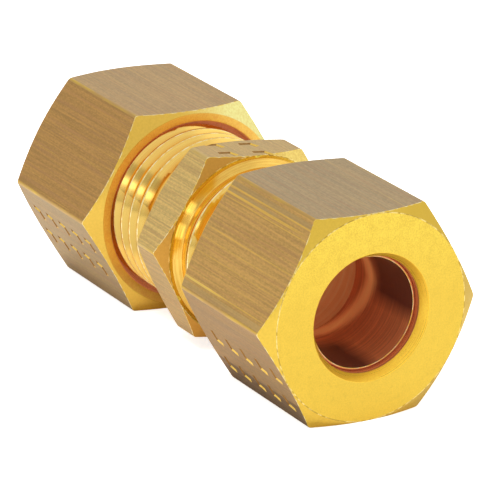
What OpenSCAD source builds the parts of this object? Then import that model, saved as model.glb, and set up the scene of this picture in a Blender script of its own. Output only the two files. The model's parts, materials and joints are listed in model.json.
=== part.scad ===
// Straight brass compression union for 10 mm tube: a hexagonal body with a threaded
// stub at each end, a compression ring inside each end, and a union nut over each ring.
// Millimetres. The tube's axis is X, the origin is the middle of the body, and Z is up.

/* [Union body] */
// Body hexagon across the flats
body_flats = 17; // [12:0.1:30]
// Body hexagon thickness along the axis
body_hex_length = 4.5; // [2:0.1:12]
// Angle the body's hexagon is turned from the level nuts, degrees
body_roll = -3.4; // [-30:0.1:30]
// Length of each threaded stub, from the hexagon's face to the stub's end
stub_length = 11; // [8:0.1:20]
// Outer radius of the cone that leads from the hexagon's face down to the neck
shoulder_r = 8.2; // [7:0.05:14]
// Length of that cone
shoulder_length = 0.35; // [0.1:0.05:1]
// Distance from the hexagon's face to the start of the thread
neck_length = 1.05; // [0.5:0.05:3]
// Radius of the neck beside the thread
neck_r = 7.45; // [5:0.05:12]
// Radius of the conical seat at the stub's mouth
seat_mouth_r = 6.15; // [4:0.05:12]
// Radius of the socket that takes the tube's end
socket_r = 5.08; // [2:0.01:10]
// Depth of the tube stop behind the stub's end
stop_depth = 7; // [3:0.1:15]
// Radius of the passage between the two tube stops
passage_r = 4; // [1:0.05:9]

/* [Thread] */
// Nominal thread diameter
thread_d = 16; // [10:0.5:30]
// Thread pitch
thread_pitch = 1.5; // [0.5:0.05:3]
// Radial gap between the stub's thread and the nut's, shared by both
thread_gap = 0.12; // [0.06:0.01:0.3]
// Axial place of the near stub's thread ridge on the +Y side
near_ridge_x = 0.64; // [0:0.005:3]
// Axial place of the far stub's thread ridge on the +Y side
far_ridge_x = 0.235; // [0:0.005:3]

/* [Union nuts] */
// Nut hexagon across the flats
nut_flats = 19; // [14:0.1:36]
// Length of a nut along the axis
nut_length = 15; // [8:0.05:25]
// Distance from the body's middle to the near nut's outer face
near_face = 22.85; // [18:0.05:40]
// Distance from the body's middle to the far nut's outer face
far_face = 23.95; // [18:0.05:40]
// Radius of the hole the tube goes in by
tube_hole_r = 5.3; // [2:0.05:10]
// Radius of the lead-in at the tube hole's mouth
lead_in_r = 5.84; // [2:0.01:12]
// Radius of the flat ring on a nut's outer face
outer_crown_r = 9.45; // [5:0.05:16]
// Radius of the flat ring on a nut's inner face
inner_crown_r = 9.25; // [5:0.05:16]
// Radius of the nut's threaded mouth at its face
nut_mouth_r = 8.5; // [5:0.01:16]
// Depth of the unthreaded part of the nut's mouth
nut_mouth_depth = 1.6; // [0.5:0.1:4]
// Radius of the hexagons' blunted corners, as a share of their sharp radius
corner_share = 0.986; // [0.95:0.001:1]

/* [Compression rings] */
// Radius of the ring's bore
ring_bore_r = 5.05; // [2:0.01:10]
// Largest radius of the ring
ring_r = 6.6; // [4:0.05:12]
// Length of the ring
ring_length = 9.55; // [5:0.05:15]
// Depth of the ring's outer end behind its nut's outer face
ring_depth = 1.45; // [0.5:0.05:5]
// Half the angle of the conical seat, degrees
seat_half_angle = 12; // [8:0.5:20]

/* [Stamped ticks] */
// How many ticks are in a row on a nut
tick_count = 5; // [1:1:10]
// Distance between ticks along the axis
tick_step = 2.55; // [1:0.05:5]
// Length of a tick along the axis
tick_length = 1.3; // [0.5:0.1:4]
// Height of a tick across the flat
tick_height = 0.85; // [0.3:0.05:2]
// Width of a tick's strokes
tick_width = 0.35; // [0.1:0.05:1]
// Depth of a tick
tick_depth = 0.15; // [0.05:0.05:0.5]

/* [Hidden] */

round_fn = 96;
hex_sides = 6;
brass = [0.86, 0.68, 0.32];
ring_brass = [0.72, 0.42, 0.24];

// a cut runs past the surface it opens by this much
over = 1;
// slope of the hexagons' crowns
crown_angle = 30;

// thread: each radius lies below the nominal one by this share of the pitch
male_crest_drop = 0.047;
male_root_drop = 0.613;
female_crest_drop = -0.08;
female_root_drop = 0.5;
nominal_r = thread_d / 2;
male_crest_r = nominal_r - male_crest_drop * thread_pitch;
male_root_r = nominal_r - male_root_drop * thread_pitch;
female_crest_r = nominal_r - female_crest_drop * thread_pitch;
female_root_r = nominal_r - female_root_drop * thread_pitch;
flank_angle = 30;
steps_per_turn = 48;
// how much thinner the stub's ridge is, and how much wider the nut's groove
flank_shift = thread_gap * tan(flank_angle);

// union body, from its middle outwards
body_face = body_hex_length / 2;
thread_from = body_face + neck_length;
body_end = body_face + stub_length;
stop_x = body_end - stop_depth;
seat_length = (seat_mouth_r - socket_r) / tan(seat_half_angle);
stub_lead_r = male_root_r + 0.02;
// the neck's core reaches into the thread up to this radius
neck_core_r = male_root_r - 0.1;

// nut, as depths behind its outer face
lead_in_depth = 0.9;
tube_land_end = ring_depth + 0.1;
nut_cavity_r = female_root_r + 0.1;
cavity_start = tube_land_end + nut_cavity_r - tube_hole_r;
cavity_end = cavity_start + 1.3;
nut_thread_start = cavity_end - 0.4;
nut_relief_r = female_crest_r + 0.28;
// the nut's thread runs this far into the wider part of its mouth
nut_thread_overrun = 0.3;

// ring: it stands clear of the nut's cone and of the body's seat
ring_tail_r = tube_hole_r - 0.1;
ring_seat_gap = 0.133;

// a tick bends this far along its length and this far up its height
tick_bend = [0.17, 0.8];

// the angle about the axis, from +Y towards +Z, that each stamped flat faces
nut_tick_angle = 210;
body_tick_angle = 90;
// each row of ticks as [shift along the axis, place across the flat]
near_tick_rows = [[0.62, -0.25], [0.08, 3.15]];
far_tick_rows = [[0.52, -0.9], [0.02, 2.2]];
body_tick_rows = [[0.4, -0.7], [-0.2, 2.5]];

// radius of a hexagon's sharp corners
function corner_r(flats) = flats / 2 / cos(30);

// the same place in the thread, within one pitch
function in_pitch(x) = x - thread_pitch * floor(x / thread_pitch);

// thickness of the thread's basic ridge at a radius
function ridge_width(r) = thread_pitch / 8 + 2 * (nominal_r - r) * tan(flank_angle);

// turns a shape built up Z so that it is built along X, with its sides level
module along_x() {
    rotate([0, 90, 0])
        rotate([0, 0, 30])
            children();
}

// a solid round about the X axis, from [x, radius] points
module turned(points) {
    rotate([0, 90, 0])
        rotate_extrude($fn = round_fn)
            polygon([for (p = points) [p[1], p[0]]]);
}

// a round hole or stub from one x to another
module round_x(from, to, r) {
    translate([from, 0, 0])
        rotate([0, 90, 0])
            cylinder(h = to - from, r = r, $fn = round_fn);
}

// a hexagonal bar with blunted corners and a crown at each end
module crowned_hex(from, to, flats, from_crown_r, to_crown_r) {
    corner = corner_r(flats);
    blunt = corner * corner_share;
    from_rise = (blunt - from_crown_r) * tan(crown_angle);
    to_rise = (blunt - to_crown_r) * tan(crown_angle);
    intersection() {
        translate([from, 0, 0])
            along_x()
                cylinder(h = to - from, r = corner, $fn = hex_sides);
        turned([
            [from, 0],
            [from, from_crown_r],
            [from + from_rise, blunt],
            [to - to_rise, blunt],
            [to, to_crown_r],
            [to, 0]
        ]);
    }
}

// a solid screw about the X axis, cut flat at both ends. Its crests come down to
// from_r and to_r at the ends, at 45 degrees. ridge_x is a ridge's place on the +Y side.
module screw(ridge_x, from, to, crest_r, root_r, shift, from_r, to_r) {
    crest_half = (ridge_width(crest_r) + shift) / 2;
    root_half = (ridge_width(root_r) + shift) / 2;
    lanes = [
        [-root_half, root_r],
        [-crest_half, crest_r],
        [crest_half, crest_r],
        [root_half, root_r]
    ];
    first = ridge_x + thread_pitch * (floor((from - ridge_x) / thread_pitch) - 2);
    turns = ceil((to - first) / thread_pitch) + 1;
    rows = turns * steps_per_turn;
    // past its ends the screw is cut off, so it needs no less than this
    low = min(root_r, from_r, to_r) - over / 10;
    function crest_limit(x) = max(low, min(crest_r, from_r + x - from, to_r + to - x));
    function lane_x(row, lane) =
        first + thread_pitch * row / steps_per_turn + lanes[lane][0];
    function lane_point(row, lane) =
        let (x = lane_x(row, lane), r = min(lanes[lane][1], crest_limit(x)))
        [x, r * cos(360 * row / steps_per_turn), r * sin(360 * row / steps_per_turn)];
    function at(row, lane) = 4 * row + lane;
    last = rows - steps_per_turn;
    points = concat(
        [for (row = [0 : rows], lane = [0 : 3]) lane_point(row, lane)],
        [[first - thread_pitch, 0, 0], [first + thread_pitch * (turns + 1), 0, 0]]
    );
    start_hub = 4 * (rows + 1);
    end_hub = start_hub + 1;
    ridge_faces = [
        for (row = [0 : rows - 1], lane = [0 : 2])
            [at(row, lane), at(row, lane + 1), at(row + 1, lane + 1), at(row + 1, lane)]
    ];
    groove_faces = [
        for (row = [0 : last - 1])
            [
                at(row, 3),
                at(row + steps_per_turn, 0),
                at(row + steps_per_turn + 1, 0),
                at(row + 1, 3)
            ]
    ];
    start_faces = concat(
        [for (row = [0 : steps_per_turn - 1]) [start_hub, at(row, 0), at(row + 1, 0)]],
        [for (lane = [0 : 2]) [start_hub, at(0, lane + 1), at(0, lane)]],
        [[start_hub, at(steps_per_turn, 0), at(0, 3)]]
    );
    end_faces = concat(
        [for (row = [last : rows - 1]) [end_hub, at(row + 1, 3), at(row, 3)]],
        [for (lane = [0 : 2]) [end_hub, at(rows, lane), at(rows, lane + 1)]],
        [[end_hub, at(last, 3), at(rows, 0)]]
    );
    intersection() {
        polyhedron(points, concat(ridge_faces, groove_faces, start_faces, end_faces));
        round_x(from, to, thread_d);
    }
}

// one threaded stub pointing along +X, with the neck that joins it to the hexagon
module stub(ridge_x) {
    turned([
        [0, 0],
        [0, shoulder_r],
        [body_face, shoulder_r],
        [body_face + shoulder_length, neck_r],
        [thread_from, neck_r],
        [thread_from, neck_core_r],
        [thread_from + over, neck_core_r],
        [thread_from + over, 0]
    ]);
    screw(
        ridge_x,
        thread_from,
        body_end,
        male_crest_r,
        male_root_r,
        -flank_shift,
        stub_lead_r,
        stub_lead_r
    );
}

// the conical seat, tube socket and passage opening at the +X end
module stub_bore() {
    mouth = seat_mouth_r + over * tan(seat_half_angle);
    turned([
        [-over, 0],
        [-over, passage_r],
        [stop_x, passage_r],
        [stop_x, socket_r],
        [body_end - seat_length, socket_r],
        [body_end + over, mouth],
        [body_end + over, 0]
    ]);
}

// one straight stroke of a tick between two [along, across] places
module stroke(from, to) {
    run = to - from;
    middle = (from + to) / 2;
    translate([middle[0], 0, middle[1]])
        rotate([0, -atan2(run[1], run[0]), 0])
            cube([norm(run) + tick_width, 2 * tick_depth, tick_width], center = true);
}

// one bent tick, centred on the origin. side turns it over, with 1 or -1.
module tick(side) {
    start = [-tick_length, -side * tick_height] / 2;
    size = [tick_length, side * tick_height];
    bend = start + [tick_bend[0] * size[0], tick_bend[1] * size[1]];
    stroke(start, bend);
    stroke(bend, start + size);
}

// rows of ticks in the flat that faces an angle, centred on x = middle
module ticks(flat_angle, flat_distance, middle, rows, count, side) {
    first = middle - tick_step * (count - 1) / 2;
    rotate([flat_angle, 0, 0])
        for (row = rows, n = [0 : count - 1])
            translate([first + row[0] + n * tick_step, flat_distance, row[1]])
                tick(side);
}

module body_hex() {
    crown_r = body_flats / 2;
    rotate([body_roll, 0, 0])
        difference() {
            crowned_hex(-body_face, body_face, body_flats, crown_r, crown_r);
            ticks(body_tick_angle, crown_r, 0, body_tick_rows, 2, -1);
        }
}

module union_body() {
    color(brass)
        difference() {
            union() {
                body_hex();
                stub(near_ridge_x);
                rotate([0, 0, 180])
                    stub(in_pitch(-thread_pitch / 2 - far_ridge_x));
            }
            stub_bore();
            rotate([0, 0, 180])
                stub_bore();
        }
}

// one nut with its outer face at x = 0, its threaded mouth towards -X
module nut(ridge_x, tick_angle, tick_rows) {
    mouth = -nut_length;
    relief_end = mouth + nut_mouth_depth;
    difference() {
        crowned_hex(mouth, 0, nut_flats, inner_crown_r, outer_crown_r);
        turned([
            [-cavity_end, 0],
            [-cavity_end, nut_cavity_r],
            [-cavity_start, nut_cavity_r],
            [-tube_land_end, tube_hole_r],
            [-lead_in_depth, tube_hole_r],
            [0, lead_in_r],
            [over, lead_in_r],
            [over, 0]
        ]);
        turned([
            [mouth - over, 0],
            [mouth - over, nut_mouth_r],
            [mouth, nut_mouth_r],
            [mouth + nut_mouth_r - nut_relief_r, nut_relief_r],
            [relief_end, nut_relief_r],
            [relief_end, 0]
        ]);
        screw(
            ridge_x,
            relief_end - nut_thread_overrun,
            -nut_thread_start,
            female_crest_r,
            female_root_r,
            flank_shift,
            female_crest_r,
            female_root_r
        );
        ticks(tick_angle, nut_flats / 2, mouth / 2, tick_rows, tick_count, 1);
    }
}

module near_nut() {
    color(brass)
        translate([near_face, 0, 0])
            nut(in_pitch(near_ridge_x - near_face), nut_tick_angle, near_tick_rows);
}

module far_nut() {
    color(brass)
        translate([-far_face, 0, 0])
            rotate([0, 0, 180])
                nut(
                    in_pitch(-far_face - thread_pitch / 2 - far_ridge_x),
                    180 - nut_tick_angle,
                    far_tick_rows
                );
}

// one compression ring, placed from its nut's outer face at x = 0
module ring() {
    tail = -ring_depth;
    nose = tail - ring_length;
    nose_seat_r = seat_mouth_r + (nose + near_face - body_end) * tan(seat_half_angle);
    nose_r = nose_seat_r - ring_seat_gap;
    nose_cone = (ring_r - nose_r) / tan(seat_half_angle);
    difference() {
        turned([
            [nose, 0],
            [nose, nose_r],
            [nose + nose_cone, ring_r],
            [tail - (ring_r - ring_tail_r), ring_r],
            [tail, ring_tail_r],
            [tail, 0]
        ]);
        round_x(nose - over, tail + over, ring_bore_r);
    }
}

module near_ring() {
    color(ring_brass)
        translate([near_face, 0, 0])
            ring();
}

module far_ring() {
    color(ring_brass)
        translate([-far_face, 0, 0])
            rotate([0, 0, 180])
                ring();
}

union_body();
near_nut();
far_nut();
near_ring();
far_ring();
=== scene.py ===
"""Brass compression union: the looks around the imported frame, all in metres."""

import json
import math
from collections import namedtuple

import bmesh
import bpy
from mathutils import Matrix, Vector


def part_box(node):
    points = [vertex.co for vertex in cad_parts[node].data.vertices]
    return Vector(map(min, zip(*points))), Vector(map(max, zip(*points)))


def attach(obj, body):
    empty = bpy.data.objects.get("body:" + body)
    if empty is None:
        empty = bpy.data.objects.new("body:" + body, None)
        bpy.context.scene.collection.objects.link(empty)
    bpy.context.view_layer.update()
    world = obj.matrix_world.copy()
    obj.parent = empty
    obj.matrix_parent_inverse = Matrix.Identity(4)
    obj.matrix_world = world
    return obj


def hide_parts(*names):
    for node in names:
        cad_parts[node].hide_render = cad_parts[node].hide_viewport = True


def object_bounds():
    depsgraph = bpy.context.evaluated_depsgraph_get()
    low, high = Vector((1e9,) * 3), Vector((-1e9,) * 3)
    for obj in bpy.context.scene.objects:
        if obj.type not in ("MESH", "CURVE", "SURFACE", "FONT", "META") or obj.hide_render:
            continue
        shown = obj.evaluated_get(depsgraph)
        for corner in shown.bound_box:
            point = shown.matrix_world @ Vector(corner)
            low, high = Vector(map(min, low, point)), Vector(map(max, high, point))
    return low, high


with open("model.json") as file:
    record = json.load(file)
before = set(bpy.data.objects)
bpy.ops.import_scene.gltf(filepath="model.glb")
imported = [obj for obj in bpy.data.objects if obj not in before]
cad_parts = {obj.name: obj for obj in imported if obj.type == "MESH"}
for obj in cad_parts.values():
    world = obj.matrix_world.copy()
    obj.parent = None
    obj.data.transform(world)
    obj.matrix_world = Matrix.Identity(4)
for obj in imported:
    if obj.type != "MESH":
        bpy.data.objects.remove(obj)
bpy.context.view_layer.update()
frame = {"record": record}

MM = 0.001
HEX_SIDES = 6
TAN_30 = math.tan(math.radians(30))
WELD = 0.5e-6

# ---------------------------------------------------------------- driving sizes

mounts = {m["name"]: m for m in frame["record"]["mounts"]}


def bore_r(name):
    return mounts[name]["dims"]["r_mm"] * MM


nut_low, nut_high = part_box("near_nut")
far_nut_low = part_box("far_nut")[0]
body_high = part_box("union_body")[1]
ring_low, ring_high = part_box("near_ring")

# thread, M16 x 1.5, with its crests and roots as shares of the pitch from the nominal radius
PITCH = 1.5 * MM
NOMINAL_R = 8 * MM
THREAD_GAP = 0.12 * MM
MALE_CREST_R = NOMINAL_R - 0.047 * PITCH
MALE_ROOT_R = NOMINAL_R - 0.613 * PITCH
FEMALE_CREST_R = NOMINAL_R + 0.08 * PITCH
FEMALE_ROOT_R = NOMINAL_R - 0.5 * PITCH
THREAD_ROUNDING = 0.06 * MM
# place of a ridge on the +Y side of each stub
NEAR_RIDGE_X = 0.64 * MM
FAR_RIDGE_X = 0.235 * MM

# union body
BODY_HALF_FLATS = 8.5 * MM
BODY_FACE = 2.25 * MM
BODY_ROLL = math.radians(-3.4)
SHOULDER_R = 8.2 * MM
SHOULDER_LENGTH = 0.35 * MM
NECK_R = 7.45 * MM
NECK_LENGTH = 1.05 * MM
SEAT_MOUTH_R = 6.15 * MM
SEAT_SLOPE = math.tan(math.radians(12))
STOP_DEPTH = 7 * MM

# nuts, with depths counted from the outer face
NUT_HALF_FLATS = nut_high.z
NUT_LENGTH = nut_high.x - nut_low.x
OUTER_CROWN_R = 9.45 * MM
INNER_CROWN_R = 9.25 * MM
LEAD_IN_R = 5.84 * MM
LEAD_IN_DEPTH = 0.9 * MM
LAND_END = 1.55 * MM
CAVITY_R = FEMALE_ROOT_R + 0.1 * MM
CAVITY_LENGTH = 1.3 * MM
MOUTH_R = 8.5 * MM
MOUTH_RELIEF_R = FEMALE_CREST_R + 0.28 * MM
MOUTH_DEPTH = 1.6 * MM

# compression rings
RING_R = ring_high.z
RING_TAIL_R = 5.2 * MM
RING_SEAT_GAP = 0.133 * MM

# softened edges, none cut back by more than a share of the side it lies on
MOST_CUT_BACK = 0.45
HEX_CORNER_RADIUS = 0.35 * MM
CROWN_EDGE = 0.04 * MM
FINE_EDGE = 0.04 * MM
RIM_EDGE = 0.05 * MM

# stamped ticks, with rows as (shift along the axis, place across the flat)
TICK_STEP = 2.55 * MM
TICK_SIZE = Vector((0.8, 1.0)) * MM
TICK_BEND = (0.17, 0.8)
TICK_HALF_WIDTH = 0.26 * MM
TICK_FLOOR_HALF_WIDTH = 0.14 * MM
TICK_DEPTH = 0.14 * MM
TICK_CUTTER_RIM = 0.1 * MM
# the sides of a tick's outline that lie in its shade
TICK_SHADED = (0, 2, 4)
NEAR_TICK_ROWS = ((0.62 * MM, -0.25 * MM), (0.08 * MM, 3.15 * MM))
FAR_TICK_ROWS = ((0.52 * MM, -0.9 * MM), (0.02 * MM, 2.2 * MM))
BODY_TICK_ROWS = ((0.4 * MM, -0.7 * MM), (-0.2 * MM, 2.5 * MM))
NUT_TICKS = 5
BODY_TICKS = 2

# how finely the round stretches are divided
FLAT_STEPS = 22
CORNER_STEPS = 6
EDGE_STEPS = 3
ROUND_COLUMNS = 144
# edges sharper than this stay sharp in the shading
SHARP_ANGLE = math.radians(38)

# ---------------------------------------------------------------- mesh building

# a profile's corner: its place, how far it is cut back, the paint of the strip after it
# and the paint of the cut-back corner itself
Corner = namedtuple("Corner", "x r cut paint edge")
# one column of a solid: its angle, the hexagon's radius there and the paint of its flat
Column = namedtuple("Column", "angle r flat_paint")


def corner(x, r, paint, cut=0.0, edge=None):
    return Corner(x, r, cut, paint, edge or paint)


def softened(before, here, after, cut):
    """The points of a rounded corner, cut back along both of its sides."""
    here_v = Vector(here)
    to_before = Vector(before) - here_v
    to_after = Vector(after) - here_v
    cut = min(cut, MOST_CUT_BACK * to_before.length, MOST_CUT_BACK * to_after.length)
    if cut <= 0:
        return [here] * (EDGE_STEPS + 1)
    start = here_v + to_before.normalized() * cut
    end = here_v + to_after.normalized() * cut
    points = []
    for step in range(EDGE_STEPS + 1):
        t = step / EDGE_STEPS
        point = start * (1 - t) ** 2 + here_v * 2 * t * (1 - t) + end * t * t
        points.append((point.x, point.y))
    return points


def ridge_width(r):
    """Thickness of the basic thread ridge at a radius."""
    return PITCH / 8 + 2 * (NOMINAL_R - r) * TAN_30


class Screw:
    """Rows of a right-hand thread between two places on the axis, for a profile.

    The crests come down to start_r and end_r at the ends, at 45 degrees. Rows past an end
    gather on the ring at that end, and the mesh is welded there.
    """

    def __init__(self, ridge_x, span, crest_r, root_r, widening, start_r, end_r, paint, lit_paint):
        self.start, self.end = span
        self.crest_r, self.start_r, self.end_r = crest_r, start_r, end_r
        self.ridge_x = ridge_x
        crest_half = (ridge_width(crest_r) + widening) / 2
        root_half = (ridge_width(root_r) + widening) / 2
        outline = [
            (root_half - PITCH, root_r),
            (-root_half, root_r),
            (-crest_half, crest_r),
            (crest_half, crest_r),
            (root_half, root_r),
            (PITCH - root_half, root_r),
        ]
        self.lanes = []
        for n in range(1, len(outline) - 1):
            self.lanes += softened(outline[n - 1], outline[n], outline[n + 1], THREAD_ROUNDING)
        per_corner = EDGE_STEPS + 1
        # only the crest's rounded edge on its +X side has the paint that catches the light
        lane_paints = [paint] * (2 * per_corner)
        lane_paints += [lit_paint] * EDGE_STEPS
        lane_paints += [paint] * (per_corner + 1)
        self.first = math.floor((self.start - ridge_x) / PITCH) - 2
        self.last = math.ceil((self.end - ridge_x) / PITCH) + 1
        self.paints = lane_paints * (self.last - self.first + 1)

    def limit(self, x):
        return min(self.crest_r, self.start_r + x - self.start, self.end_r + self.end - x)

    def rows(self, angle):
        points = []
        for turn in range(self.first, self.last + 1):
            for dx, r in self.lanes:
                x = self.ridge_x + PITCH * (turn + angle / math.tau) + dx
                if x <= self.start:
                    points.append((self.start, self.start_r))
                elif x >= self.end:
                    points.append((self.end, self.end_r))
                else:
                    points.append((x, min(r, self.limit(x))))
        return points


class ReversedScrew(Screw):
    """The same rows from the far end back, for the inside of a nut."""

    def rows(self, angle):
        return super().rows(angle)[::-1]


def stations(profile, angle):
    """The profile's points at one angle about the axis, and the paint of the strip after each."""
    ends = []
    for item in profile:
        if isinstance(item, Screw):
            rows = item.rows(angle)
            ends.append((rows[0], rows[-1]))
        else:
            ends.append(((item.x, item.r), (item.x, item.r)))
    points, paints = [], []
    for n, item in enumerate(profile):
        if isinstance(item, Screw):
            points += item.rows(angle)
            paints += item.paints
            continue
        after = ends[(n + 1) % len(profile)][0]
        arc = softened(ends[n - 1][1], (item.x, item.r), after, item.cut)
        points += arc
        paints += [item.edge] * (len(arc) - 1) + [item.paint]
    return points, paints


def hex_columns(half_flats, flat_paints, corner_paint, roll=0.0):
    """Columns round a hexagon with rounded corners, from one corner back to it."""
    inner = half_flats - HEX_CORNER_RADIUS
    hub = inner / math.cos(math.radians(30))
    half_side = inner * TAN_30
    columns = []
    for side, flat_paint in enumerate(flat_paints):
        corner_angle = side * math.tau / HEX_SIDES
        for step in range(CORNER_STEPS + 1):
            bend = math.radians(-30 + 60 * step / CORNER_STEPS)
            along = hub + HEX_CORNER_RADIUS * math.cos(bend)
            across = HEX_CORNER_RADIUS * math.sin(bend)
            angle = corner_angle + math.atan2(across, along) + roll
            paint = flat_paint if step == CORNER_STEPS else corner_paint
            columns.append(Column(angle, math.hypot(along, across), paint))
        flat_angle = corner_angle + math.radians(30)
        for step in range(1, FLAT_STEPS):
            across = half_side * (2 * step / FLAT_STEPS - 1)
            angle = flat_angle + math.atan2(across, half_flats) + roll
            columns.append(Column(angle, math.hypot(half_flats, across), flat_paint))
    first = columns[0]
    return columns + [first._replace(angle=first.angle + math.tau)]


def round_columns():
    return [Column(math.tau * n / ROUND_COLUMNS, 0.0, None) for n in range(ROUND_COLUMNS + 1)]


def new_object(name, data):
    thing = bpy.data.objects.new(name, data)
    bpy.context.scene.collection.objects.link(thing)
    return thing


def lathe(name, columns, profile_of, place):
    """A closed solid about the X axis. profile_of(radius) is its profile where the hexagon
    has that radius, and place puts the solid where it belongs."""
    vertices, faces, face_paints = [], [], []
    for column in columns:
        points, strip_paints = stations(profile_of(column.r), column.angle)
        y, z = math.cos(column.angle), math.sin(column.angle)
        vertices += [(x, r * y, r * z) for x, r in points]
        face_paints.append([column.flat_paint if p == "flat" else p for p in strip_paints])
    count = len(points)
    paints = sorted({paint for strip in face_paints for paint in strip})
    indexes = []
    for column in range(len(columns) - 1):
        here, there = column * count, (column + 1) * count
        for row in range(count):
            after = (row + 1) % count
            faces.append((here + row, here + after, there + after, there + row))
            indexes.append(paints.index(face_paints[column][row]))
    mesh = bpy.data.meshes.new(name)
    mesh.from_pydata(vertices, [], faces)
    mesh.polygons.foreach_set("material_index", indexes)
    solid = bmesh.new()
    solid.from_mesh(mesh)
    bmesh.ops.remove_doubles(solid, verts=solid.verts, dist=WELD)
    bmesh.ops.recalc_face_normals(solid, faces=solid.faces)
    solid.transform(place)
    solid.to_mesh(mesh)
    solid.free()
    for paint in paints:
        mesh.materials.append(paint_shop[paint])
    return new_object(name, mesh)


def tick_outline(half_width, side):
    """The six corners round a bent tick's two strokes. side turns it over, with 1 or -1."""
    size = Vector((TICK_SIZE.x, side * TICK_SIZE.y))
    start = -size / 2
    bend = start + Vector((TICK_BEND[0] * size.x, TICK_BEND[1] * size.y))
    end = size / 2
    first = (bend - start).normalized()
    second = (end - bend).normalized()
    first_off = first.orthogonal() * half_width
    second_off = second.orthogonal() * half_width
    bend_off = (first_off + second_off) / (1 + first.dot(second))
    start -= first * half_width
    end += second * half_width
    left = [start + first_off, bend + bend_off, end + second_off]
    right = [end - second_off, bend - bend_off, start - first_off]
    return left + right


def tick_cutters(flat_angle, flat_distance, middle, rows, count, side, place):
    """One mesh of bent wedges that press rows of ticks into a flat, shaded sides and floors
    with its second paint."""
    # each outline of a wedge as (half its width, its height over the flat)
    levels = [
        (TICK_HALF_WIDTH + TICK_CUTTER_RIM / 2, TICK_CUTTER_RIM),
        (TICK_HALF_WIDTH, 0.0),
        (TICK_FLOOR_HALF_WIDTH, -TICK_DEPTH),
    ]
    cutter = bmesh.new()
    first = middle - TICK_STEP * (count - 1) / 2
    for shift, across in rows:
        for n in range(count):
            spot = Vector((first + shift + n * TICK_STEP, flat_distance, across))
            loops = []
            for half_width, high in levels:
                outline = tick_outline(half_width, side)
                loops.append([cutter.verts.new(spot + Vector((p.x, high, p.y))) for p in outline])
            for low, high in zip(loops, loops[1:]):
                for k in range(len(low)):
                    after = (k + 1) % len(low)
                    wall = cutter.faces.new((low[k], low[after], high[after], high[k]))
                    wall.material_index = int(k in TICK_SHADED)
            for loop in (loops[0], loops[-1]):
                for part in (loop[:2] + loop[4:], loop[1:5]):
                    cutter.faces.new(part).material_index = 1
    bmesh.ops.recalc_face_normals(cutter, faces=cutter.faces)
    cutter.transform(place @ Matrix.Rotation(flat_angle, 4, "X"))
    mesh = bpy.data.meshes.new("tick_cutter")
    cutter.to_mesh(mesh)
    cutter.free()
    mesh.materials.append(paint_shop["tick"])
    mesh.materials.append(paint_shop["tick_shade"])
    return new_object("tick_cutter", mesh)


def press_in(piece, cutter):
    """Cuts the cutter out of the piece, then removes the cutter."""
    cut = piece.modifiers.new("ticks", "BOOLEAN")
    cut.operation = "DIFFERENCE"
    cut.solver = "EXACT"
    cut.material_mode = "TRANSFER"
    cut.object = cutter
    bake(piece)
    bpy.data.objects.remove(cutter)


def bake(piece):
    """Applies the piece's modifiers to its mesh."""
    graph = bpy.context.evaluated_depsgraph_get()
    baked = bpy.data.meshes.new_from_object(piece.evaluated_get(graph))
    piece.modifiers.clear()
    piece.data = baked


def finish_piece(piece, body, node):
    """Shades a piece and gives it its place in the frame."""
    piece.data.shade_smooth()
    piece.data.set_sharp_from_angle(angle=SHARP_ANGLE)
    weigh = piece.modifiers.new("even_normals", "WEIGHTED_NORMAL")
    weigh.mode = "FACE_AREA_WITH_ANGLE"
    weigh.keep_sharp = True
    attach(piece, body)
    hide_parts(node)


# ---------------------------------------------------------------- materials


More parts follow.
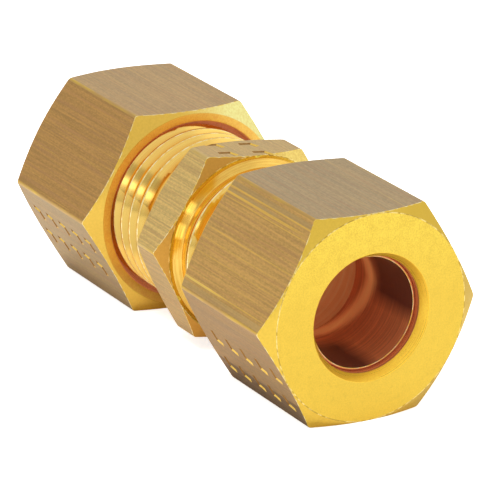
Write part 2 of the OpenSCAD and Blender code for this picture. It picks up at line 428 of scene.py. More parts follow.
class Shader:
    """A material's nodes, added one call at a time."""

    def __init__(self, name):
        self.material = bpy.data.materials.new(name)
        self.material.use_nodes = True
        self.tree = self.material.node_tree
        self.surface = self.tree.nodes["Principled BSDF"]

    def add(self, kind, inputs=(), **settings):
        node = self.tree.nodes.new("ShaderNode" + kind)
        for key, value in settings.items():
            setattr(node, key, value)
        for key, value in dict(inputs).items():
            self.feed(node.inputs[key], value)
        return node

    def feed(self, socket, value):
        if isinstance(value, bpy.types.NodeSocket):
            self.tree.links.new(value, socket)
        else:
            socket.default_value = value

    def math(self, operation, a, b=0.0):
        return self.add("Math", {0: a, 1: b}, operation=operation).outputs[0]

    def weighted(self, *parts):
        """The sum of (value, weight) parts."""
        total = 0.0
        for value, weight in parts:
            total = self.math("ADD", total, self.math("MULTIPLY", value, weight))
        return total

    def place(self):
        return self.add("TexCoord").outputs["Object"]

    def along(self, axis="X"):
        return self.add("SeparateXYZ", {0: self.place()}).outputs[axis]

    def radius(self):
        split = self.add("SeparateXYZ", {0: self.place()})
        y, z = split.outputs["Y"], split.outputs["Z"]
        squares = [self.math("MULTIPLY", side, side) for side in (y, z)]
        return self.math("SQRT", self.math("ADD", *squares))

    def angle(self):
        """The angle about the axis, from +Y towards +Z."""
        split = self.add("SeparateXYZ", {0: self.place()})
        return self.math("ARCTAN2", split.outputs["Z"], split.outputs["Y"])

    def across(self, flat_angle):
        """The place across a flat that faces an angle, in metres from its middle."""
        direction = (0, -math.sin(flat_angle), math.cos(flat_angle))
        inputs = {0: self.place(), 1: direction}
        return self.add("VectorMath", inputs, operation="DOT_PRODUCT").outputs["Value"]

    def round_place(self, radial, around, axial):
        """The place as (radius, angle, x), each at its own scale, for turned surfaces."""
        parts = {
            0: self.math("MULTIPLY", self.radius(), radial),
            1: self.math("MULTIPLY", self.angle(), around),
            2: self.math("MULTIPLY", self.along(), axial),
        }
        return self.add("CombineXYZ", parts).outputs[0]

    def noise(self, place, scale=(1, 1, 1), detail=2.0, shift=(0, 0, 0)):
        """Noise with a number of cells for each metre along X, Y and Z."""
        stretched = self.add("Mapping", {"Vector": place, "Scale": scale, "Location": shift})
        inputs = {"Vector": stretched.outputs[0], "Scale": 1.0, "Detail": detail}
        return self.add("TexNoise", inputs).outputs["Fac"]

    def ramp(self, fac, low, high, low_value=0.0, high_value=1.0):
        inputs = {0: fac, 1: low, 2: high, 3: low_value, 4: high_value}
        return self.add("MapRange", inputs).outputs[0]

    def band(self, value, middle, half_width, fade):
        """1 within half_width of middle, falling to 0 over the fade."""
        away = self.math("ABSOLUTE", self.math("SUBTRACT", value, middle))
        return self.ramp(away, half_width, half_width + fade, 1.0, 0.0)

    def blend(self, fac, a, b):
        node = self.add("Mix", data_type="RGBA")
        self.feed(node.inputs[0], fac)
        self.feed(node.inputs[6], a)
        self.feed(node.inputs[7], b)
        return node.outputs[2]

    def bump(self, height, distance):
        inputs = {"Height": height, "Distance": distance, "Strength": 1.0}
        return self.add("Bump", inputs).outputs[0]

    def glow(self, color, strength):
        """Stands in for light that a render's few reflections do not carry."""
        self.feed(self.surface.inputs["Emission Color"], color)
        self.feed(self.surface.inputs["Emission Strength"], strength)

    def metal(self, color, roughness, normal=None, metallic=1.0):
        self.feed(self.surface.inputs["Base Color"], color)
        self.feed(self.surface.inputs["Metallic"], metallic)
        self.feed(self.surface.inputs["Roughness"], roughness)
        if normal is not None:
            self.feed(self.surface.inputs["Normal"], normal)
        return self.material


# linear colours
FACE_GOLD = (0.87, 0.59, 0.078, 1)
# the lighter gold a turned face takes towards its top, painted light
LIT_TOP_GOLD = (0.96, 0.72, 0.10, 1)
GLINT = (0.92, 0.60, 0.10, 1)
PALE = (1.0, 0.86, 0.46, 1)
COPPER = (0.78, 0.29, 0.12, 1)
# the dull film on each drawn flat, by piece, in lit and shaded copies for the side, top and low
# flats: painted light and shade
NEAR_SIDE_FILM_AS_LIT = (0.62, 0.375, 0.115, 1)
NEAR_TOP_FILM_AS_LIT = (0.49, 0.355, 0.18, 1)
NEAR_LOW_FILM_AS_LIT = (0.44, 0.27, 0.10, 1)
FAR_SIDE_FILM_AS_LIT = (0.53, 0.30, 0.09, 1)
FAR_TOP_FILM_AS_LIT = (0.55, 0.365, 0.158, 1)
FAR_LOW_FILM_AS_LIT = (0.46, 0.315, 0.14, 1)
BODY_SIDE_FILM_AS_LIT = (0.76, 0.535, 0.19, 1)
BODY_TOP_FILM_AS_LIT = (0.66, 0.46, 0.18, 1)
BODY_LOW_FILM_AS_LIT = (0.60, 0.41, 0.165, 1)

# a mark along a drawn flat: its place and half width across the flat, the middle and half
# length of it along the axis, its colour, and how much of the film it covers
Mark = namedtuple("Mark", "across half_width middle half_length color cover")
MARK_FADE = 0.05 * MM
MARK_END = 3 * MM

SCORES = [
    Mark(-4.75 * MM, 0.20 * MM, 15 * MM, 9 * MM, (0.50, 0.36, 0.16, 1), 0.6),
    Mark(-4.45 * MM, 0.05 * MM, 15 * MM, 7 * MM, GLINT, 0.65),
    Mark(-4.10 * MM, 0.10 * MM, 11 * MM, 5 * MM, (0.50, 0.36, 0.16, 1), 0.6),
    Mark(-3.85 * MM, 0.08 * MM, 13 * MM, 6 * MM, GLINT, 0.75),
    Mark(-3.45 * MM, 0.03 * MM, 15 * MM, 7 * MM, GLINT, 0.5),
    Mark(-0.40 * MM, 0.03 * MM, 16 * MM, 6 * MM, GLINT, 0.45),
    Mark(0.60 * MM, 0.02 * MM, 12 * MM, 6 * MM, GLINT, 0.4),
    Mark(1.90 * MM, 0.02 * MM, 14 * MM, 6 * MM, GLINT, 0.3),
    Mark(4.35 * MM, 0.07 * MM, 9.5 * MM, 3.5 * MM, (1.0, 0.72, 0.16, 1), 1.0),
    Mark(4.35 * MM, 0.03 * MM, 17 * MM, 4 * MM, GLINT, 0.55),
    Mark(4.95 * MM, 0.25 * MM, 15 * MM, 9 * MM, (0.55, 0.40, 0.18, 1), 0.5),
]
# painted shade: the darkened strip along the lower edge of the near nut's low flat, where it
# reflects the floor in the nut's shadow
LOW_SHADE = [Mark(4.4 * MM, 1.6 * MM, 15 * MM, 12 * MM, (0.15, 0.08, 0.035, 1), 0.7)]


# noise of flat surfaces, in cells for each metre along X, Y and Z
FINE_STREAKS = (110, 6500, 6500)
BROAD_STREAKS = (45, 1700, 1700)
WARM_STREAKS = (60, 4200, 4200)
STRAY_SCRATCHES = (70, 9500, 9500)
DRAWN_GRAIN = (3000, 7000, 7000)
CORNER_PATCHES = (350, 1600, 1600)
CORNER_STREAKS = (120, 9000, 9000)
MOTTLE = (1300, 1300, 1300)
FACE_SAND = (7000, 7000, 7000)
PITS = (2600, 2600, 2600)
CROWN_SAND = (5000, 5000, 5000)
EDGE_BREAKS = (2000, 2000, 2000)
# noise of turned surfaces, in cells for each metre of radius, radian and metre along X
FACE_RINGS = (9000, 0.6, 9000)
NECK_RINGS = (12000, 1.5, 9000)
NECK_PATCHES = (1500, 4, 1500)
THREAD_RINGS = (14000, 1.2, 9000)
SOCKET_RINGS = (5000, 0.8, 3000)
BORE_RINGS = (9000, 0.8, 7000)


def shade(color, share):
    """A share of a colour, lighter when it is more than 1."""
    return tuple(channel * share for channel in color[:3]) + (1,)


# how far the streaks of drawn brass go from its film's colour, and the colour of the warm ones
FILM_CONTRAST = 0.17
WARM_STREAK = (0.50, 0.26, 0.12, 1)


def drawn_brass(name, film_as_lit, flat_angle, marks):
    """Bar stock as drawn: dull, with fine streaks along X and marks along the flat. Its film's
    tone has painted light and shade.
    """
    s = Shader(name)
    place = s.place()
    fine = s.noise(place, FINE_STREAKS, detail=4)
    broad = s.noise(place, BROAD_STREAKS, detail=2, shift=(3, 1, 2))
    grain = s.noise(place, DRAWN_GRAIN, detail=3)
    tone = s.ramp(s.weighted((fine, 0.5), (broad, 0.15), (grain, 0.35)), 0.4, 0.6)
    color = s.blend(tone, shade(film_as_lit, 1 - FILM_CONTRAST), shade(film_as_lit, 1 + FILM_CONTRAST))
    # faint warm streaks, and thin scratches through the film
    warm = s.noise(place, WARM_STREAKS, detail=2, shift=(9, 2, 4))
    color = s.blend(s.ramp(warm, 0.5, 0.66, 0, 0.35), color, WARM_STREAK)
    stray = s.noise(place, STRAY_SCRATCHES, detail=2, shift=(7, 5, 1))
    color = s.blend(s.ramp(stray, 0.66, 0.74, 0, 0.4), color, GLINT)
    across = s.across(flat_angle)
    for mark in marks:
        side = s.band(across, mark.across, mark.half_width, MARK_FADE)
        length = s.band(s.along(), mark.middle, mark.half_length, MARK_END)
        rub = s.ramp(fine, 0.3, 0.6, 0.5 * mark.cover, mark.cover)
        share = s.math("MULTIPLY", rub, s.math("MULTIPLY", side, length))
        color = s.blend(share, color, mark.color)
    roughness = s.ramp(fine, 0.3, 0.7, 0.40, 0.52)
    normal = s.bump(fine, 0.003 * MM)
    return s.metal(color, roughness, normal)


def worn_corner(name, film_as_lit):
    """The rounded corner of bar stock, rubbed to the metal in long patches."""
    s = Shader(name)
    place = s.place()
    patches = s.noise(place, CORNER_PATCHES, detail=3)
    fine = s.noise(place, CORNER_STREAKS, detail=2)
    rubbed = s.ramp(s.weighted((patches, 0.6), (fine, 0.4)), 0.46, 0.64)
    color = s.blend(rubbed, shade(film_as_lit, 0.92), shade(GLINT, 0.78))
    return s.metal(color, s.ramp(fine, 0.3, 0.7, 0.3, 0.42), s.bump(patches, 0.008 * MM))


# where a turned face takes its lighter tint towards the top, painted light
HIGH_FROM = 1 * MM
HIGH_FULL = 9 * MM


def turned_brass(name, tint, dark, rough, metallic=1.0, glow=0.0, lit_top_tint=None):
    """A machined surface with fine rings about the axis and a sandy mottle, a glow of painted
    light if one is given, and a lighter tint towards the top, painted light too, if one is given."""
    s = Shader(name)
    s.glow(tint, glow)
    rings = s.noise(s.round_place(*FACE_RINGS), detail=2)
    mottle = s.noise(s.place(), MOTTLE, detail=5)
    sand = s.noise(s.place(), FACE_SAND, detail=2)
    tone = s.weighted((mottle, 0.3), (sand, 0.7))
    if lit_top_tint:
        tint = s.blend(s.ramp(s.along("Z"), HIGH_FROM, HIGH_FULL), tint, lit_top_tint)
    color = s.blend(s.ramp(tone, 0.38, 0.64), tint, dark)
    pits = s.noise(s.place(), PITS, detail=4, shift=(5, 8, 3))
    color = s.blend(s.ramp(pits, 0.60, 0.72, 0, 0.22), color, shade(dark, 0.75))
    roughness = s.ramp(rings, 0.3, 0.7, rough - 0.05, rough + 0.05)
    normal = s.bump(s.weighted((rings, 0.5), (sand, 0.5)), 0.003 * MM)
    return s.metal(color, roughness, normal, metallic)


# the stretch of a crown that has its other tint, painted light and shade for the way it faces
CROWN_TURN = math.radians(35)
CROWN_TURN_HALF = math.radians(32)
CROWN_TURN_FADE = math.radians(30)


def crown_brass(name, tint, light_and_shade_tint):
    """A crown with a sandy mottle, and another tint where it faces up and towards +Y: painted
    light and shade.
    """
    s = Shader(name)
    sand = s.noise(s.place(), CROWN_SAND, detail=3)
    turned = s.band(s.angle(), CROWN_TURN, CROWN_TURN_HALF, CROWN_TURN_FADE)
    color = s.blend(turned, tint, light_and_shade_tint)
    color = s.blend(s.ramp(sand, 0.35, 0.65, 0, 0.3), color, shade(tint, 0.8))
    return s.metal(color, s.ramp(sand, 0.3, 0.7, 0.28, 0.38), s.bump(sand, 0.003 * MM))


# painted highlights that glow round the shoulder of the neck: the middle and half width of each in
# degrees, and the radii where they start and are full
NECK_GLINTS = [(144.5, 2.5), (161, 3.5)]
GLINT_FADE = math.radians(2.5)
GLINT_GLOW = 0.75
GLINT_COLOR = (1.0, 0.74, 0.13, 1)
GLINT_FROM_R = NECK_R + 0.1 * MM
GLINT_FULL_R = NECK_R + 0.25 * MM


def neck_brass(name, tint, dark):
    """The turned neck, with painted highlights glowing on its shoulder in a few places."""
    s = Shader(name)
    rings = s.noise(s.round_place(*NECK_RINGS), detail=3)
    patches = s.noise(s.round_place(*NECK_PATCHES), detail=2, shift=(2, 6, 1))
    color = s.blend(s.ramp(s.weighted((rings, 0.6), (patches, 0.4)), 0.4, 0.62), tint, dark)
    glints = 0.0
    for middle, half_width in NECK_GLINTS:
        glint = s.band(s.angle(), math.radians(middle), math.radians(half_width), GLINT_FADE)
        glints = s.math("ADD", glints, glint)
    high = s.ramp(s.radius(), GLINT_FROM_R, GLINT_FULL_R)
    # the painted highlights' glow, broken up by the turning rings
    glint_breakup = s.ramp(rings, 0.35, 0.6, 0.3 * GLINT_GLOW, GLINT_GLOW)
    s.glow(GLINT_COLOR, s.math("MULTIPLY", glint_breakup, s.math("MULTIPLY", glints, high)))
    return s.metal(color, 0.15, s.bump(rings, 0.002 * MM))


def broken_edge(name, bright, dull):
    """A thin machined edge with a painted highlight, broken in places."""
    s = Shader(name)
    breaks = s.noise(s.place(), EDGE_BREAKS, detail=3)
    color = s.blend(s.ramp(breaks, 0.44, 0.6), dull, bright)
    return s.metal(color, s.ramp(breaks, 0.4, 0.6, 0.4, 0.2))


# painted shade: the radii between which a thread changes from its root's darker tint to its
# crest's
ROOT_TINT_R = MALE_ROOT_R + 0.1 * MM
CREST_TINT_R = MALE_CREST_R - 0.25 * MM
# the angles between which it becomes duller towards -Y, painted shade on its lower side
DULL_FROM = math.radians(159)
DULL_FULL = math.radians(166)


def cut_thread(name, crest_tint, root_tint):
    """A bright cut thread with painted shade: deeper in colour towards its root and duller towards
    -Y.
    """
    s = Shader(name)
    rings = s.noise(s.round_place(*THREAD_RINGS), detail=2)
    color = s.blend(s.ramp(s.radius(), ROOT_TINT_R, CREST_TINT_R), root_tint, crest_tint)
    color = s.blend(s.ramp(rings, 0.4, 0.7, 0, 0.3), color, shade(root_tint, 0.9))
    dull = s.ramp(s.math("ABSOLUTE", s.angle()), DULL_FROM, DULL_FULL, 0.0, 0.8)
    color = s.blend(dull, color, shade(crest_tint, 0.66))
    return s.metal(color, 0.1, s.bump(rings, 0.0004 * MM))


# the ring's bore has a brighter band, a painted reflection that also glows, at this distance from
# the body's middle beside +Y and this much less for each radian away from it
BAND_PLACE = 14.5 * MM
BAND_SLOPE = 1.43 * MM
BAND_HALF_WIDTH = 0.25 * MM
BAND_FADE = 0.95 * MM
# painted shade: nearer the tube hole the bore is dark but for a stretch of it to this side of the
# axis
LIT_ANGLE = math.radians(-45)
LIT_HALF_ANGLE = math.radians(22)
LIT_FADE = math.radians(17)
DARK_FROM = 14.2 * MM
DARK_FULL = 16.2 * MM
BAND_COLOR = (1.0, 0.42, 0.15, 1)
BAND_GLOW_COLOR = (1.0, 0.36, 0.11, 1)
BAND_GLOW = 0.15
BORE_DARK = (0.12, 0.035, 0.028, 1)
SOCKET_GLOW = 0.045


def bore_brass(name, tint, dark):
    """The softly lit wall of a deep hole."""
    s = Shader(name)
    turning = s.noise(s.round_place(*SOCKET_RINGS), detail=3)
    color = s.blend(s.ramp(turning, 0.35, 0.65), tint, dark)
    # the glow is painted light, for light reflected down into the hole
    s.glow(color, SOCKET_GLOW)
    return s.metal(color, 0.5, s.bump(turning, 0.0005 * MM), 0.0)


def ring_bore_brass(name):
    """Smooth copper-red bore with a painted reflection in a soft band bent round it, and painted
    shade nearer the tube hole.
    """
    s = Shader(name)
    turning = s.noise(s.round_place(*BORE_RINGS), detail=3)
    distance = s.math("ABSOLUTE", s.along())
    bend = s.math("MULTIPLY", s.math("ABSOLUTE", s.angle()), BAND_SLOPE)
    band = s.band(s.math("ADD", distance, bend), BAND_PLACE, BAND_HALF_WIDTH, BAND_FADE)
    color = s.blend(s.ramp(turning, 0.35, 0.65), shade(COPPER, 0.76), shade(COPPER, 1.06))
    color = s.blend(band, color, BAND_COLOR)
    # the painted reflection glows, broken up by the turning marks
    band_glow_breakup = s.ramp(turning, 0.35, 0.65, 0.5 * BAND_GLOW, 1.2 * BAND_GLOW)
    s.glow(BAND_GLOW_COLOR, s.math("MULTIPLY", band, band_glow_breakup))
    lit = s.band(s.angle(), LIT_ANGLE, LIT_HALF_ANGLE, LIT_FADE)
    unlit = s.math("SUBTRACT", 1.0, lit)
    dark = s.math("MULTIPLY", unlit, s.ramp(distance, DARK_FROM, DARK_FULL))
    color = s.blend(s.math("MULTIPLY", dark, 0.92), color, BORE_DARK)
    metallic = s.ramp(band, 0.0, 1.0, 0.45, 0.0)
    return s.metal(color, 0.36, s.bump(turning, 0.001 * MM), metallic)


# every drawn flat as its paint's name, its film with painted light and shade, the angle it faces
# in degrees and its marks
DRAWN_FLATS = [
    ("near_side", NEAR_SIDE_FILM_AS_LIT, 150, SCORES),
    ("near_top", NEAR_TOP_FILM_AS_LIT, 90, []),
    ("near_low", NEAR_LOW_FILM_AS_LIT, 210, LOW_SHADE),
    ("far_side", FAR_SIDE_FILM_AS_LIT, 150, []),
    ("far_top", FAR_TOP_FILM_AS_LIT, 90, []),
    ("far_low", FAR_LOW_FILM_AS_LIT, 210, []),
    ("body_side", BODY_SIDE_FILM_AS_LIT, 150, []),
    ("body_top", BODY_TOP_FILM_AS_LIT, 90, []),
    ("body_low", BODY_LOW_FILM_AS_LIT, 210, []),
]
paint_shop = {
    name: drawn_brass(f"{name}_flat", film_as_lit, math.radians(angle), marks)
    for name, film_as_lit, angle, marks in DRAWN_FLATS
}
paint_shop |= {
    "nut_corner": worn_corner("nut_corner", NEAR_SIDE_FILM_AS_LIT),
    "body_corner": worn_corner("body_corner", BODY_SIDE_FILM_AS_LIT),
    "face": turned_brass(
        "turned_face", FACE_GOLD, shade(FACE_GOLD, 0.9), rough=0.36, lit_top_tint=LIT_TOP_GOLD
    ),
    "rim": broken_edge("rim_highlight", (0.95, 0.74, 0.26, 1), (0.55, 0.36, 0.06, 1)),
    # the crowns' second tints are painted light and shade
    "near_crown": crown_brass("near_crown", (0.85, 0.57, 0.08, 1), (0.62, 0.41, 0.055, 1)),
    "far_crown": crown_brass("far_crown", (0.84, 0.54, 0.09, 1), (0.86, 0.80, 0.32, 1)),
    "body_crown": crown_brass("body_crown", (0.62, 0.31, 0.055, 1), (0.88, 0.67, 0.185, 1)),
    "mouth_face": turned_brass(
        "nut_mouth_face", (1.0, 0.66, 0.13, 1), (0.93, 0.52, 0.1, 1), rough=0.4, metallic=0.8
    ),
    # the mouth's wall glows with painted light, for the reflections that go round inside the mouth
    "gap": turned_brass(
        "nut_mouth_wall",
        (0.85, 0.36, 0.15, 1),
        (0.70, 0.28, 0.12, 1),
        rough=0.6,
        metallic=0.0,
        glow=0.14,
    ),
    "edge": broken_edge("edge_highlight", PALE, FACE_GOLD),
    "thread": cut_thread("cut_thread", (0.98, 0.665, 0.168, 1), (0.87, 0.42, 0.065, 1)),
    "neck": neck_brass("turned_neck", (0.97, 0.66, 0.15, 1), (0.82, 0.46, 0.08, 1)),
    "crest": broken_edge("thread_crest", (1.0, 0.84, 0.45, 1), (0.90, 0.62, 0.2, 1)),
    "socket": bore_brass("tube_socket", (1.0, 0.56, 0.24, 1), (0.92, 0.44, 0.17, 1)),
    "bore": turned_brass("turned_bore", COPPER, shade(COPPER, 0.85), rough=0.28, metallic=0.6),
    "ring_bore": ring_bore_brass("ring_bore"),
    "lip": turned_brass(
        "tube_hole_lip", (1.0, 0.66, 0.055, 1), (0.93, 0.55, 0.04, 1), rough=0.3, metallic=0.5
    ),
    "tick": turned_brass("pressed_tick", (0.98, 0.66, 0.14, 1), (0.9, 0.56, 0.1, 1), rough=0.3),
    "tick_shade": turned_brass(
        "tick_shade", (0.42, 0.22, 0.065, 1), (0.30, 0.15, 0.045, 1), rough=0.4
    ),
}

# ---------------------------------------------------------------- the pieces


def crowned_side(from_x, to_x, hex_r, from_crown_r, to_crown_r, paints):
    """The outside of a hexagonal bar with a crown at each end. paints are those of the
    crowns, of the edge from each crown to the flats, and of the face after the bar."""
    crown, from_edge, to_edge, face = paints
    from_rise = max(hex_r - from_crown_r, 0) * TAN_30
    to_rise = max(hex_r - to_crown_r, 0) * TAN_30
    return [
        corner(from_x, min(from_crown_r, hex_r), crown, FINE_EDGE),
        corner(from_x + from_rise, hex_r, "flat", CROWN_EDGE, from_edge),
        corner(to_x - to_rise, hex_r, crown, CROWN_EDGE, to_edge),
        corner(to_x, min(to_crown_r, hex_r), face, RIM_EDGE, "rim"),
    ]


def stub_screw(ridge_x, start, end):
    """The thread of one stub, with its crests brought down to the root at both ends."""
    return Screw(
        ridge_x,
        (start, end),
        MALE_CREST_R,
        MALE_ROOT_R,
        -THREAD_GAP * TAN_30,
        MALE_ROOT_R,
        MALE_ROOT_R,
        "thread",
        "crest",
    )


def body_profile(hex_r):
    end = body_high.x
    cone_end = BODY_FACE + SHOULDER_LENGTH
    thread_from = BODY_FACE + NECK_LENGTH
    socket_r = bore_r("near_tube_socket")
    passage_r = bore_r("passage")
    socket_end = end - (SEAT_MOUTH_R - socket_r) / SEAT_SLOPE
    stop = end - STOP_DEPTH
    crown_r = BODY_HALF_FLATS
    return [
        corner(-end, SEAT_MOUTH_R, "face"),
        stub_screw(FAR_RIDGE_X, -end, -thread_from),
        corner(-thread_from, NECK_R, "neck", FINE_EDGE),
        corner(-cone_end, NECK_R, "neck", FINE_EDGE),
        corner(-BODY_FACE, SHOULDER_R, "face", FINE_EDGE),
        *crowned_side(-BODY_FACE, BODY_FACE, hex_r, crown_r, crown_r, BODY_EDGES),
        corner(BODY_FACE, SHOULDER_R, "neck", FINE_EDGE),
        corner(cone_end, NECK_R, "neck", FINE_EDGE),
        corner(thread_from, NECK_R, "thread", FINE_EDGE),
        stub_screw(NEAR_RIDGE_X, thread_from, end),
        corner(end, SEAT_MOUTH_R, "socket", FINE_EDGE),
        corner(socket_end, socket_r, "socket"),
        corner(stop, socket_r, "socket"),
        corner(stop, passage_r, "socket", FINE_EDGE),
        corner(-stop, passage_r, "socket", FINE_EDGE),
        corner(-stop, socket_r, "socket"),
        corner(-socket_end, socket_r, "socket"),
    ]


def nut_profile(ridge_x, edges):
    """The nut with its outer face at x = 0 and its mouth towards -X."""
    hole_r = bore_r("near_nut_tube_hole")
    mouth = -NUT_LENGTH
    relief_end = mouth + MOUTH_DEPTH
    cavity_start = -(LAND_END + CAVITY_R - hole_r)
    cavity_end = cavity_start - CAVITY_LENGTH
    thread = ReversedScrew(
        ridge_x,
        (relief_end, cavity_end),
        FEMALE_CREST_R,
        FEMALE_ROOT_R,
        THREAD_GAP * TAN_30,
        FEMALE_CREST_R,
        FEMALE_ROOT_R,
        "gap",
        "gap",
    )

    def profile(hex_r):
        return [
            *crowned_side(mouth, 0, hex_r, INNER_CROWN_R, OUTER_CROWN_R, edges),
            corner(0, LEAD_IN_R, "lip", FINE_EDGE),
            corner(-LEAD_IN_DEPTH, hole_r, "bore", FINE_EDGE),
            corner(-LAND_END, hole_r, "bore", FINE_EDGE),
            corner(cavity_start, CAVITY_R, "bore"),
            corner(cavity_end, CAVITY_R, "bore"),
            thread,
            corner(relief_end, MOUTH_RELIEF_R, "gap"),
            corner(mouth + MOUTH_R - MOUTH_RELIEF_R, MOUTH_RELIEF_R, "gap", FINE_EDGE),
            corner(mouth, MOUTH_R, "mouth_face", FINE_EDGE),
        ]

    return profile


def ring_profile():
    """The ring, placed from its nut's outer face at x = 0."""
    bore = bore_r("near_ring_bore")
    nose = ring_low.x - nut_high.x
    tail = ring_high.x - nut_high.x
    seat_r = SEAT_MOUTH_R + (ring_low.x - body_high.x) * SEAT_SLOPE
    nose_r = seat_r - RING_SEAT_GAP
    return [
        corner(nose, bore, "bore", FINE_EDGE),
        corner(nose, nose_r, "bore", FINE_EDGE),
        corner(nose + (RING_R - nose_r) / SEAT_SLOPE, RING_R, "bore", FINE_EDGE),
        corner(tail - (RING_R - RING_TAIL_R), RING_R, "bore", FINE_EDGE),
        corner(tail, RING_TAIL_R, "bore", FINE_EDGE),
        corner(tail, bore, "ring_bore", FINE_EDGE, "edge"),
    ]


# the paints of a hexagon's flats, from the one that faces 30 degrees on round. Those out of
# sight look like the ones in sight.
NEAR_FLATS = ["near_side", "near_top", "near_side", "near_low", "near_top", "near_side"]
BODY_FLATS = ["body_side", "body_top", "body_side", "body_low", "body_top", "body_side"]
# the far nut is turned about Z, so its flats run the other way round
FAR_FLATS = ["far_side", "far_top", "far_side", "far_side", "far_top", "far_low"]
# the paints of the crowns, of their inner and outer edges and of the face. The edges that
# face +X catch the light.
NEAR_EDGES = ("near_crown", "near_crown", "edge", "face")
BODY_EDGES = ("body_crown", "body_crown", "edge", "face")
FAR_EDGES = ("far_crown", "edge", "far_crown", "face")

AT_NEAR_NUT = Matrix.Translation((nut_high.x, 0, 0))
AT_FAR_NUT = Matrix.Translation((far_nut_low.x, 0, 0)) @ Matrix.Rotation(math.pi, 4, "Z")
IN_PLACE = Matrix.Identity(4)


def make_body():
    columns = hex_columns(BODY_HALF_FLATS, BODY_FLATS, "body_corner", BODY_ROLL)
    body = lathe("union_body_brass", columns, body_profile, IN_PLACE)
    angle = math.radians(90) + BODY_ROLL
    cutter = tick_cutters(angle, BODY_HALF_FLATS, 0, BODY_TICK_ROWS, BODY_TICKS, -1, IN_PLACE)
    press_in(body, cutter)
    finish_piece(body, "body", "union_body")


def make_nut(side, ridge_x, paints, edges, tick_angle, tick_rows, place):
    columns = hex_columns(NUT_HALF_FLATS, paints, "nut_corner")
    profile = nut_profile(ridge_x % PITCH, edges)
    nut = lathe(f"{side}_nut_brass", columns, profile, place)
    angle = math.radians(tick_angle)
    cutter = tick_cutters(angle, NUT_HALF_FLATS, -NUT_LENGTH / 2, tick_rows, NUT_TICKS, 1, place)
    press_in(nut, cutter)
    finish_piece(nut, f"{side}_nut", f"{side}_nut")


def make_ring(side, place):
    ring = lathe(f"{side}_ring_brass", round_columns(), lambda hex_r: ring_profile(), place)
    finish_piece(ring, f"{side}_ring", f"{side}_ring")


make_body()
near_ridge = NEAR_RIDGE_X - nut_high.x
far_ridge = far_nut_low.x - PITCH / 2 - FAR_RIDGE_X
make_nut("near", near_ridge, NEAR_FLATS, NEAR_EDGES, 210, NEAR_TICK_ROWS, AT_NEAR_NUT)
make_nut("far", far_ridge, FAR_FLATS, FAR_EDGES, -30, FAR_TICK_ROWS, AT_FAR_NUT)
make_ring("near", AT_NEAR_NUT)
make_ring("far", AT_FAR_NUT)

# ---------------------------------------------------------------- stage, light and camera

FLOOR_SIZE = 3.0
FLOOR_WHITE = (0.90, 0.90, 0.90, 1)
# brightness the camera alone sees added to the floor, so that its shadows stay faint
FLOOR_LIFT = 0.7
KEY_PLACE = Vector((0.05, -0.22, 0.5))
KEY_SIZE = 0.16
KEY_POWER = 1.6
CAMERA_PLACE = Vector((279.5, -162.4, 114.6)) * MM
CAMERA_FORWARD = Vector((-0.81337, 0.47473, -0.33623))
CAMERA_UP = Vector((-0.30158, 0.15014, 0.94154))
FIELD_OF_VIEW = 2 * math.atan(0.5 / 7.68)

# the studio's walls: brightness of the tent, and patches of it as (direction, degrees from
# it to where the patch stops being full, degrees to where it ends, brightness)
TENT = 0.85
TENT_PATCHES = [
    ((0.45, 0.84, 0.30), 16, 34, 1.12),
    ((-0.81, -0.53, 0.24), 20, 50, 0.75),
    ((0.90, -0.30, 0.32), 2.5, 6.5, 0.5),
    ((0.90, -0.40, 0.19), 2.0, 3.6, 2.0),
    ((0.887, -0.46, 0.07), 0.8, 2.2, 0.25),
    ((0.965, -0.225, 0.125), 1.6, 3.2, 2.6),
]


def make_floor():
    mesh = bpy.data.meshes.new("floor")
    half = FLOOR_SIZE / 2
    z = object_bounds()[0][2]
    corners = [(-half, -half, z), (half, -half, z), (half, half, z), (-half, half, z)]
    mesh.from_pydata(corners, [], [(0, 1, 2, 3)])
    floor = new_object("floor", mesh)
    s = Shader("pale_floor")
    s.feed(s.surface.inputs["Base Color"], FLOOR_WHITE)
    s.feed(s.surface.inputs["Roughness"], 0.9)
    s.feed(s.surface.inputs["Specular IOR Level"], 0.0)
    s.feed(s.surface.inputs["Emission Color"], (1, 1, 1, 1))
    seen = s.add("LightPath").outputs["Is Camera Ray"]
    s.feed(s.surface.inputs["Emission Strength"], s.math("MULTIPLY", seen, FLOOR_LIFT))
    mesh.materials.append(s.material)


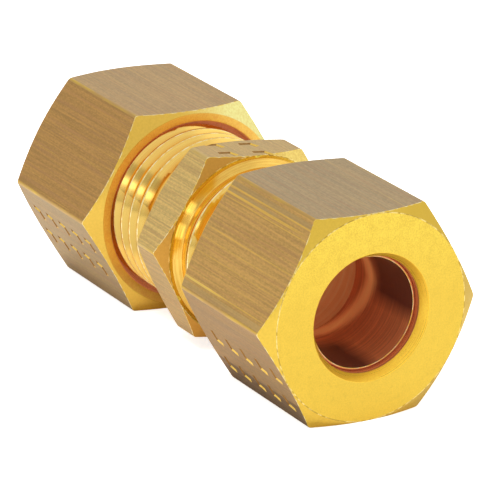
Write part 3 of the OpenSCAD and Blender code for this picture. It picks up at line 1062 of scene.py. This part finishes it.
def make_key_light():
    """A soft light from above that aims at the origin and leaves no image of itself."""
    data = bpy.data.lights.new("key", "AREA")
    data.shape = "SQUARE"
    data.size = KEY_SIZE
    data.energy = KEY_POWER
    lamp = new_object("key", data)
    lamp.location = KEY_PLACE
    lamp.visible_glossy = False
    lamp.rotation_euler = (-KEY_PLACE).to_track_quat("-Z", "Y").to_euler()


def make_world():
    """A white tent whose patches give the brass something to reflect."""
    world = bpy.data.worlds.new("studio")
    world.use_nodes = True
    tree = world.node_tree
    direction = tree.nodes.new("ShaderNodeTexCoord").outputs["Generated"]
    level = None
    for toward, full, end, brightness in TENT_PATCHES:
        facing = tree.nodes.new("ShaderNodeVectorMath")
        facing.operation = "DOT_PRODUCT"
        facing.inputs[1].default_value = Vector(toward).normalized()
        tree.links.new(direction, facing.inputs[0])
        patch = tree.nodes.new("ShaderNodeMapRange")
        patch.interpolation_type = "SMOOTHSTEP"
        patch.inputs[1].default_value = math.cos(math.radians(end))
        patch.inputs[2].default_value = math.cos(math.radians(full))
        tree.links.new(facing.outputs["Value"], patch.inputs[0])
        mix = tree.nodes.new("ShaderNodeMix")
        tree.links.new(patch.outputs[0], mix.inputs[0])
        mix.inputs[2].default_value = TENT
        if level is not None:
            tree.links.new(level, mix.inputs[2])
        mix.inputs[3].default_value = brightness
        level = mix.outputs[0]
    tree.links.new(level, tree.nodes["Background"].inputs["Strength"])
    tree.nodes["Background"].inputs["Color"].default_value = (1, 1, 1, 1)
    bpy.context.scene.world = world


def make_camera():
    data = bpy.data.cameras.new("camera")
    data.angle = FIELD_OF_VIEW
    data.clip_start = 0.01
    data.clip_end = 10
    camera = new_object("camera", data)
    right = CAMERA_FORWARD.cross(CAMERA_UP).normalized()
    up = right.cross(CAMERA_FORWARD).normalized()
    turn = Matrix((right, up, -CAMERA_FORWARD)).transposed().to_4x4()
    camera.matrix_world = Matrix.Translation(CAMERA_PLACE) @ turn
    bpy.context.scene.camera = camera


make_floor()
make_world()
make_key_light()
make_camera()
bpy.context.scene.view_settings.view_transform = "Standard"
